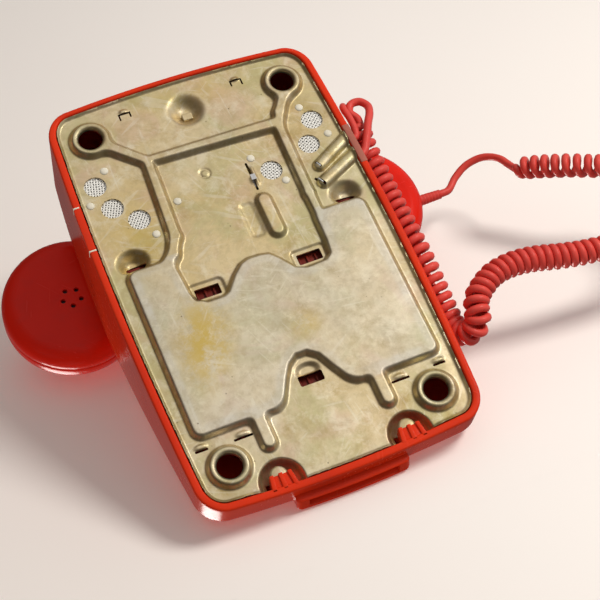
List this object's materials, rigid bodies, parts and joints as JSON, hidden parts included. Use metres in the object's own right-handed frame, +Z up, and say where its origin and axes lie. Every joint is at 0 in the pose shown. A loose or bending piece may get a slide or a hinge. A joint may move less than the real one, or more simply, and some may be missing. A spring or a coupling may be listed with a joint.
{
  "type": "corded landline telephone",
  "caption": "Desk telephone with a pressed steel base plate, red moulded case, rotary dial, lifting handset on a coiled cord, hook switch and bell.",
  "frame": {"origin": "on the desk plane under the centre of the base plate, midway between the four foot holes", "axes": "+X to the user's right, +Y to the rear of the phone, +Z up from the desk"},
  "size_m": [0.3535, 0.2236, 0.1081],
  "materials": {
    "zinc_plate": "yellow chromate zinc plating",
    "red_case": "gloss",
    "handset_red": "gloss",
    "cord_red": "soft sheen",
    "grey_plastic": "satin",
    "ivory_plastic": "satin",
    "black_plastic": "satin",
    "dial_wheel_plastic": "gloss",
    "plate_print": "satin",
    "mesh_cloth": "woven",
    "bright_steel": "satin",
    "gong_brass": "polished",
    "spring_metal": "satin",
    "board_brown": "satin",
    "coil_copper": "lacquered wire",
    "capsule_metal": "satin"
  },
  "bodies": {
    "phone_base": {"base_plate": "zinc_plate", "housing": "red_case", "front_grip": "handset_red", "side_blank": "red_case", "cord_port": "grey_plastic", "vent_mesh": "mesh_cloth", "mesh_rivets": "ivory_plastic", "case_screw": "bright_steel", "dial_bezel": "black_plastic", "number_plate": "plate_print", "finger_stop": "bright_steel", "dial_frame": "bright_steel", "dial_spring": "spring_metal", "pulse_contacts": "spring_metal", "hook_spring": "spring_metal", "hook_bracket": "bright_steel", "ringer_frame": "bright_steel", "gongs": "gong_brass", "gong_screws": "bright_steel", "ringer_coil": "coil_copper", "circuit_board": "board_brown", "induction_coil": "black_plastic", "capacitor": "ivory_plastic", "terminal_block": "black_plastic", "terminal_screws": "gong_brass", "coil_cord": "cord_red", "line_cord": "cord_red", "line_plug": "ivory_plastic"},
    "dial_wheel": {"finger_wheel": "dial_wheel_plastic", "dial_cap": "plate_print", "dial_shaft": "bright_steel", "dial_gear": "gong_brass"},
    "dial_governor": {"pinion": "gong_brass", "governor": "gong_brass"},
    "handset": {"handset_body": "handset_red", "receiver_cap": "handset_red", "mouthpiece_cap": "handset_red", "receiver_capsule": "capsule_metal", "transmitter_capsule": "capsule_metal", "cord_sleeve": "cord_red"},
    "hook_plungers": {"plungers": "ivory_plastic"},
    "hook_rocker": {"hook_lever": "bright_steel"},
    "ringer_striker": {"clapper": "bright_steel"},
    "volume_slider": {"volume_lever": "bright_steel"}
  },
  "joints": [
    {"name": "handset_lift", "type": "slide", "parent": "phone_base", "child": "handset", "axis": [0, 0, 1], "range_m": [0, 0.08], "deforming": ["coil_cord"]},
    {"name": "plunger_slide", "type": "slide", "parent": "phone_base", "child": "hook_plungers", "axis": [0, 0, 1], "range_m": [0, 0.005]},
    {"name": "hook_pivot", "type": "hinge", "parent": "phone_base", "child": "hook_rocker", "pos_m": [0, 0.0215, 0.0514], "axis": [1, 0, 0], "range_deg": [0, 13.1]},
    {"name": "dial_turn", "type": "hinge", "parent": "phone_base", "child": "dial_wheel", "pos_m": [0, -0.05, 0.04035], "axis": [0, -0.3256, 0.9455], "range_deg": [-330, 0]},
    {"name": "governor_spin", "type": "hinge", "parent": "phone_base", "child": "dial_governor", "pos_m": [0.01261, -0.04165, 0.04323], "axis": [0, -0.3256, 0.9455], "range_deg": [0, 1981]},
    {"name": "striker_swing", "type": "hinge", "parent": "phone_base", "child": "ringer_striker", "pos_m": [0, 0.03, 0.024], "axis": [0, 0, 1], "range_deg": [-5, 5]},
    {"name": "volume_slide", "type": "slide", "parent": "phone_base", "child": "volume_slider", "axis": [0, 1, 0], "range_m": [-0.004, 0.004]}
  ],
  "couplings": [
    {"joint": "plunger_slide", "follows": "handset_lift", "ratio": 0.0625},
    {"joint": "hook_pivot", "follows": "handset_lift", "rad_per_m": 2.8362},
    {"joint": "governor_spin", "follows": "dial_turn", "ratio": -6}
  ]
}
